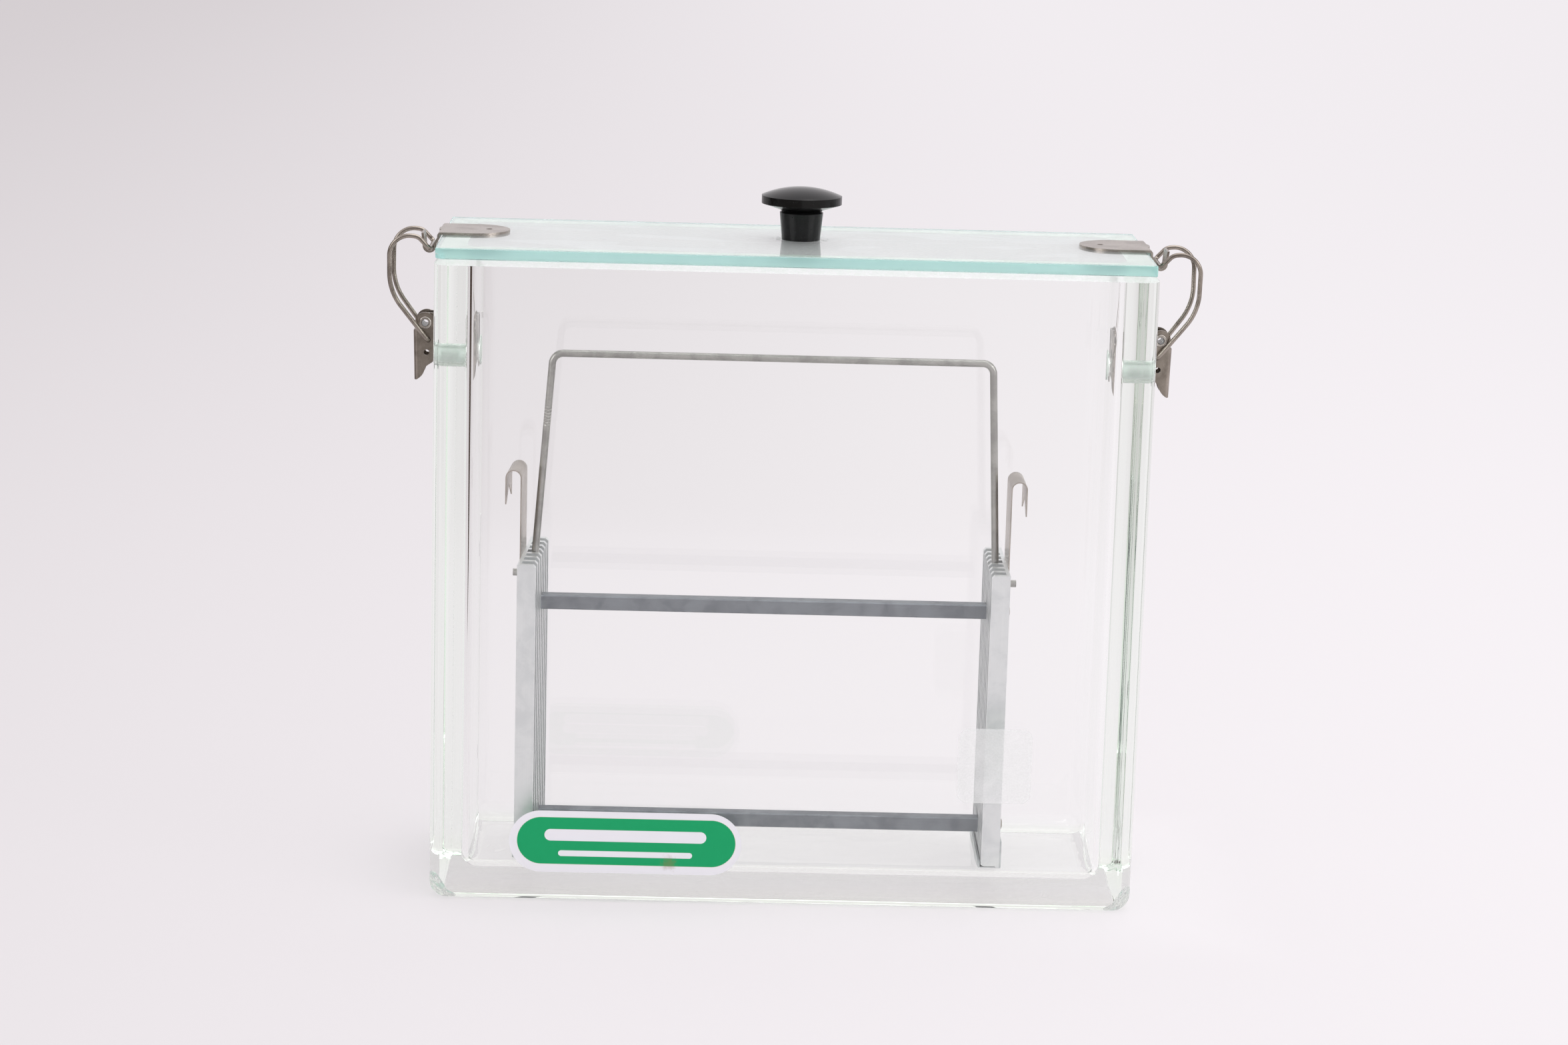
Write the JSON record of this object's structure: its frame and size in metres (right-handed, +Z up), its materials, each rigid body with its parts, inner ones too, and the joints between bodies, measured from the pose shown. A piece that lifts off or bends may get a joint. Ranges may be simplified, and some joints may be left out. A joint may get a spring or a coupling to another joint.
{
  "type": "tlc developing chamber",
  "caption": "Rectangular glass chamber with a ground lid, wire latches and a combed aluminium rack for developing thin-layer chromatography plates",
  "frame": {"origin": "centre of the flat underside of the glass tank, at the level it stands on", "axes": "+Z up, +X along the long side to the right, -Y towards the front with the label"},
  "size_m": [0.3516, 0.1003, 0.3076],
  "materials": {
    "tank_glass": "clear moulded glass, faint green, 10 to 13 mm walls",
    "lid_glass": "plate glass, cyan-green edges, milky ground underside",
    "knob_plastic": "turned black phenolic plastic, glossy",
    "label_film": "printed film: green field in a white border",
    "bar_aluminium": "extruded square bar, dull grey, drawn lines",
    "rack_aluminium": "extruded comb section, satin",
    "foot_sheet": "folded sheet, satin",
    "stainless_wire": "drawn stainless wire, warm grey",
    "stainless_sheet": "pressed stainless sheet, satin",
    "stainless_screw": "turned stainless steel",
    "plug_plastic": "white translucent plastic"
  },
  "bodies": {
    "chamber": {"glass_tank": "tank_glass", "lid_plate": "lid_glass", "lid_knob": "knob_plastic", "front_label": "label_film", "rack_bar_upper": "bar_aluminium", "rack_bar_lower": "bar_aluminium", "lid_clip_left": "stainless_sheet", "latch_base_left": "stainless_sheet", "latch_eyelet_left": "stainless_sheet", "wall_plug_left": "plug_plastic", "latch_screw_left": "stainless_screw", "rack_end_plate_left": "rack_aluminium", "rack_screws_left": "stainless_screw", "rack_hook_left": "stainless_sheet", "rack_foot_left": "foot_sheet", "lid_clip_right": "stainless_sheet", "latch_base_right": "stainless_sheet", "latch_eyelet_right": "stainless_sheet", "wall_plug_right": "plug_plastic", "latch_screw_right": "stainless_screw", "rack_end_plate_right": "rack_aluminium", "rack_screws_right": "stainless_screw", "rack_hook_right": "stainless_sheet", "rack_foot_right": "foot_sheet"},
    "lever_left": {"latch_lever_left": "stainless_sheet"},
    "bail_left": {"latch_bail_left": "stainless_wire"},
    "lever_right": {"latch_lever_right": "stainless_sheet"},
    "bail_right": {"latch_bail_right": "stainless_wire"},
    "handle": {"rack_handle": "stainless_wire"}
  },
  "joints": [
    {"name": "lever_left_swing", "type": "hinge", "parent": "chamber", "child": "lever_left", "pos_m": [-0.1597, 0.005, 0.245], "axis": [0, 1, 0], "range_deg": [0, 140]},
    {"name": "bail_left_pivot", "type": "hinge", "parent": "lever_left", "child": "bail_left", "pos_m": [-0.1585, 0.005, 0.2375], "axis": [0, 1, 0], "range_deg": [-122, 0]},
    {"name": "lever_right_swing", "type": "hinge", "parent": "chamber", "child": "lever_right", "pos_m": [0.1597, 0.005, 0.245], "axis": [0, -1, 0], "range_deg": [0, 140]},
    {"name": "bail_right_pivot", "type": "hinge", "parent": "lever_right", "child": "bail_right", "pos_m": [0.1585, 0.005, 0.2375], "axis": [0, -1, 0], "range_deg": [-122, 0]},
    {"name": "handle_play", "type": "hinge", "parent": "chamber", "child": "handle", "pos_m": [-0.0097, 0, 0.1358], "axis": [1, 0, 0], "range_deg": [-2.5, 2.5]}
  ],
  "couplings": [
    {"joint": "bail_left_pivot", "follows": "lever_left_swing", "ratio": -0.872},
    {"joint": "bail_right_pivot", "follows": "lever_right_swing", "ratio": -0.872}
  ]
}
